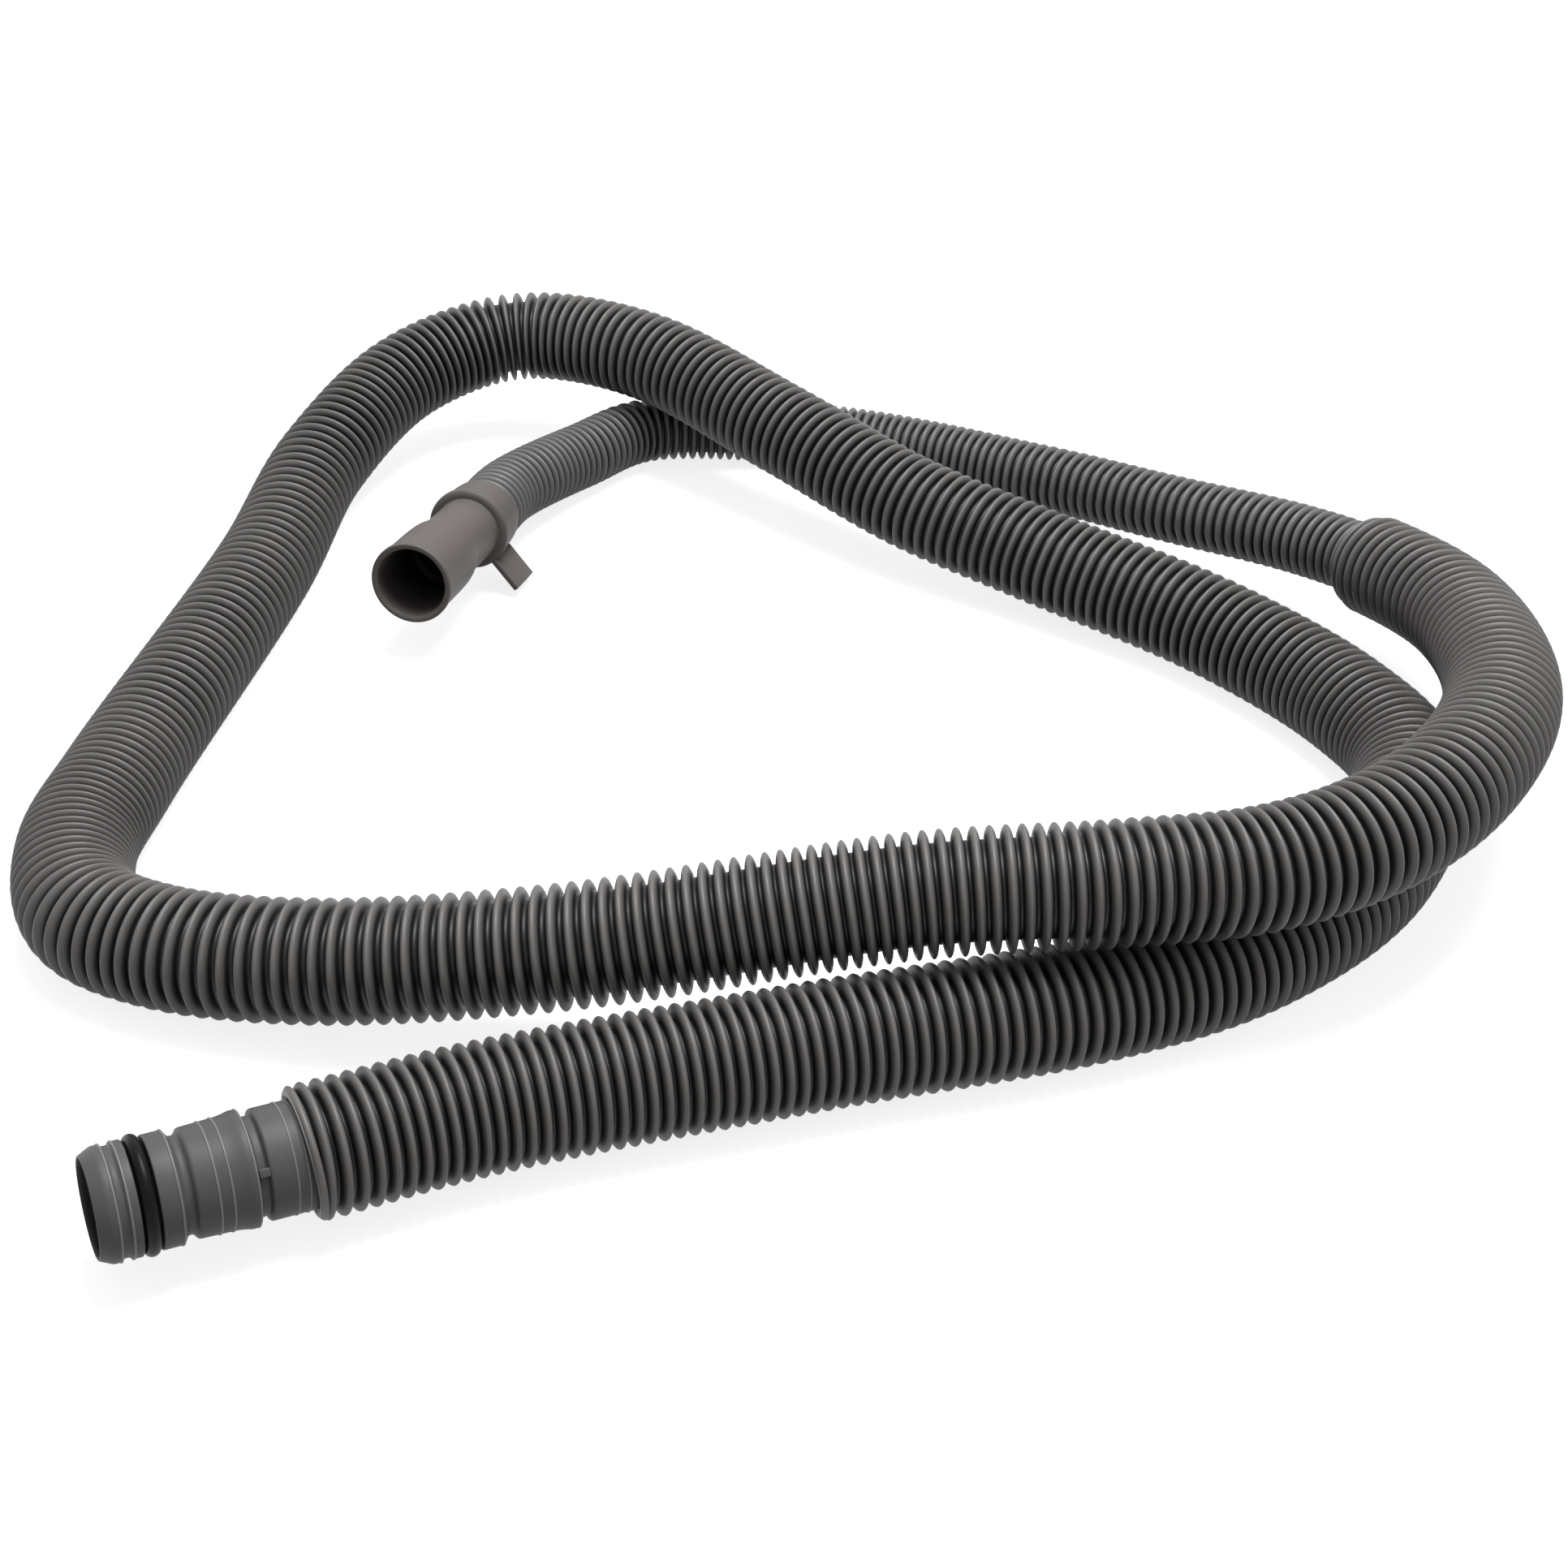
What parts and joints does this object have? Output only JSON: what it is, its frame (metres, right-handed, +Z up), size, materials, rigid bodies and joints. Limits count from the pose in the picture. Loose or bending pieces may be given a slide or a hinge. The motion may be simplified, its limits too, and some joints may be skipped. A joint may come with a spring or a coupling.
{
  "type": "dishwasher drain hose",
  "caption": "Corrugated drain hose lying in two loose loops, stepping down in width, with an O-ring spigot at the wide end and a soft cuff with a pull tab at the narrow end.",
  "frame": {"origin": "centre of the bounding box at its bottom, on the surface that the hose lies on", "axes": "+Y along the longest extent of the lay, from the spigot's side to the back bend; +X towards the stacked bends; +Z up"},
  "size_m": [0.3714, 0.4096, 0.0597],
  "materials": {
    "hose_plastic": "satin dark grey polypropylene",
    "spigot_plastic": "satin grey moulded plastic",
    "seal_rubber": "smooth black rubber",
    "cuff_rubber": "matt warm grey soft plastic"
  },
  "bodies": {
    "root": {"drain_hose": "hose_plastic", "spigot": "spigot_plastic", "o_ring": "seal_rubber", "end_cuff": "cuff_rubber"}
  },
  "joints": []
}
